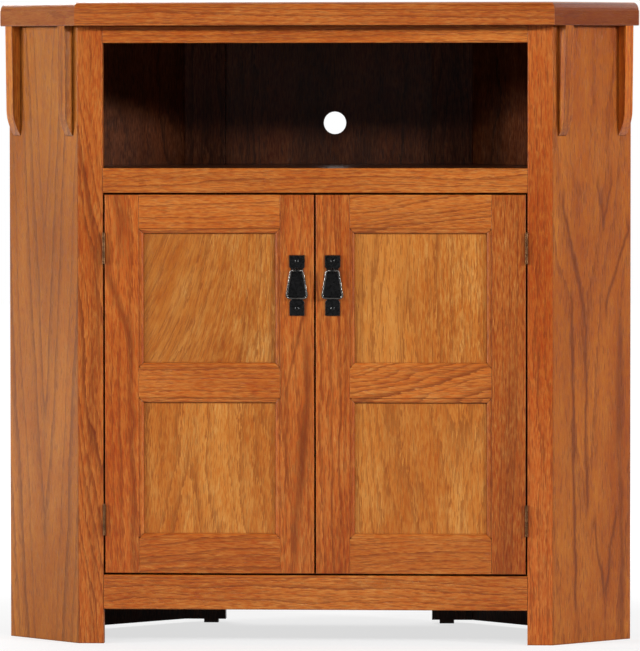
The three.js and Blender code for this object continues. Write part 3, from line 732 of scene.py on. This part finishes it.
# Camera: place in metres, turns in radians and focal length in pixels of the picture
picture_height = 651
camera_place = Vector((0.5922, -10.0046, 0.9346))
camera_yaw = 0.05943
camera_pitch = -0.04226
camera_roll = -0.00088
focal_pixels = 6064.3

# Softboxes: turned from the front towards the right, and raised, in degrees, then their
# distance and size in metres and their power
softboxes = {
    "key_right": {
        "azimuth": 62, "elevation": 13.5, "distance": 8.0, "width": 1.5, "height": 0.6, "watts": 355,
    },
    "key_left": {
        "azimuth": -67, "elevation": 11.7, "distance": 7.0, "width": 2.3, "height": 0.7, "watts": 340,
    },
    "fill_right": {
        "azimuth": 28, "elevation": 20.9, "distance": 8.0, "width": 1.6, "height": 0.6, "watts": 125,
    },
    "fill_left": {
        "azimuth": -30, "elevation": 20.9, "distance": 8.0, "width": 1.6, "height": 0.6, "watts": 95,
    },
    "rim_left": {
        "azimuth": -147, "elevation": 39, "distance": 3.2, "width": 2.0, "height": 0.8, "watts": 42,
    },
    "rim_right": {
        "azimuth": 118, "elevation": 34, "distance": 3.2, "width": 3.0, "height": 1.4, "watts": 20,
    },
}

# The point near the cabinet's middle that every softbox looks at
softbox_aim = Vector((0.0, -0.05, 0.55))


def add_camera():
    """The sensor's width stands for the longer side of the picture, which is its height."""
    data = bpy.data.cameras.new("camera")
    data.sensor_width = 36.0
    data.lens = data.sensor_width * focal_pixels / picture_height
    data.clip_start = 0.1
    data.clip_end = 100.0
    camera = bpy.data.objects.new("camera", data)
    bpy.context.scene.collection.objects.link(camera)
    right = Vector((math.cos(camera_yaw), math.sin(camera_yaw), 0.0))
    ahead = Vector((
        -math.sin(camera_yaw) * math.cos(camera_pitch),
        math.cos(camera_yaw) * math.cos(camera_pitch),
        math.sin(camera_pitch),
    ))
    turned = Matrix.Rotation(-camera_roll, 3, ahead)
    right = turned @ right
    above = right.cross(ahead)
    camera.matrix_world = Matrix((right, above, -ahead)).transposed().to_4x4()
    camera.matrix_world.translation = camera_place
    bpy.context.scene.camera = camera


def add_softbox(name, azimuth, elevation, distance, width, height, watts):
    """A flat soft lamp that looks at the cabinet."""
    turn = math.radians(azimuth)
    rise = math.radians(elevation)
    towards = Vector((
        math.sin(turn) * math.cos(rise),
        -math.cos(turn) * math.cos(rise),
        math.sin(rise),
    ))
    data = bpy.data.lights.new(name, "AREA")
    data.shape = "RECTANGLE"
    data.size = width
    data.size_y = height
    data.energy = watts
    lamp = bpy.data.objects.new(name, data)
    bpy.context.scene.collection.objects.link(lamp)
    lamp.location = softbox_aim + towards * distance
    lamp.rotation_euler = towards.to_track_quat("Z", "Y").to_euler()


def seen(net, mirrored):
    """1 where the camera looks, and mirrored where gloss or glass does. Diffuse light gets 0."""
    path = net.add("ShaderNodeLightPath").outputs
    shiny = net.math("MAXIMUM", path["Is Glossy Ray"], path["Is Transmission Ray"])
    return net.math("MAXIMUM", path["Is Camera Ray"], net.math("MULTIPLY", shiny, mirrored))


def add_world():
    """A room that is white to the camera and, behind the cabinet, in its gloss.

    As a light it is only a weak fill."""
    backdrop_start = 0.2
    backdrop_end = 0.6
    fill_strength = 0.065
    world = bpy.data.worlds.new("studio")
    bpy.context.scene.world = world
    world.use_nodes = True
    net = Net(world.node_tree)
    world.node_tree.nodes.clear()
    way = net.add("ShaderNodeTexCoord").outputs["Generated"]
    backdrop = net.spread(net.split(way)["Y"], backdrop_start, backdrop_end, smooth=True)
    strength = net.spread(seen(net, backdrop), 0.0, 1.0, fill_strength, 1.0)
    ground = net.add("ShaderNodeBackground", {"Color": white, "Strength": strength})
    net.add("ShaderNodeOutputWorld", {"Surface": ground.outputs[0]})


def add_floor():
    """A floor that is white by its own glow far off, and shows the cabinet's shadow close by.

    Gloss mirrors it behind the cabinet's middle, and faintly near its feet."""
    half_side = 14.0
    near_end = 0.5
    far_start = 2.2
    near_glow = 0.7
    backdrop_end = 0.5
    mirror_near_end = 1.2
    near_mirrored = 0.18
    grey = (0.33, 0.33, 0.33, 1.0)
    mesh = bpy.data.meshes.new("floor")
    corners = [
        (-half_side, -half_side, 0.0),
        (half_side, -half_side, 0.0),
        (half_side, half_side, 0.0),
        (-half_side, half_side, 0.0),
    ]
    mesh.from_pydata(corners, [], [(0, 1, 2, 3)])
    floor = bpy.data.objects.new("floor", mesh)
    bpy.context.scene.collection.objects.link(floor)
    material, net = empty_material("floor_white")
    place = net.add("ShaderNodeTexCoord").outputs["Object"]
    far = net.vector("LENGTH", place)
    glow = net.spread(far, near_end, far_start, near_glow, 1.0, smooth=True)
    backdrop = net.spread(net.split(place)["Y"], 0.0, backdrop_end, smooth=True)
    near = net.spread(far, mirror_near_end, far_start, near_mirrored, 0.0, smooth=True)
    mirrored = net.math("MAXIMUM", backdrop, near)
    strength = net.math("MULTIPLY", glow, seen(net, mirrored))
    emission = net.add("ShaderNodeEmission", {"Color": white, "Strength": strength})
    diffuse = net.add("ShaderNodeBsdfDiffuse", {"Color": grey})
    both = net.add("ShaderNodeAddShader", {0: emission.outputs[0], 1: diffuse.outputs[0]})
    net.add("ShaderNodeOutputMaterial", {"Surface": both.outputs[0]})
    mesh.materials.append(material)


add_camera()
dress_woodwork()
dress_hardware()
for softbox, values in softboxes.items():
    add_softbox(softbox, **values)
add_world()
add_floor()

bpy.context.scene.view_settings.view_transform = "Standard"
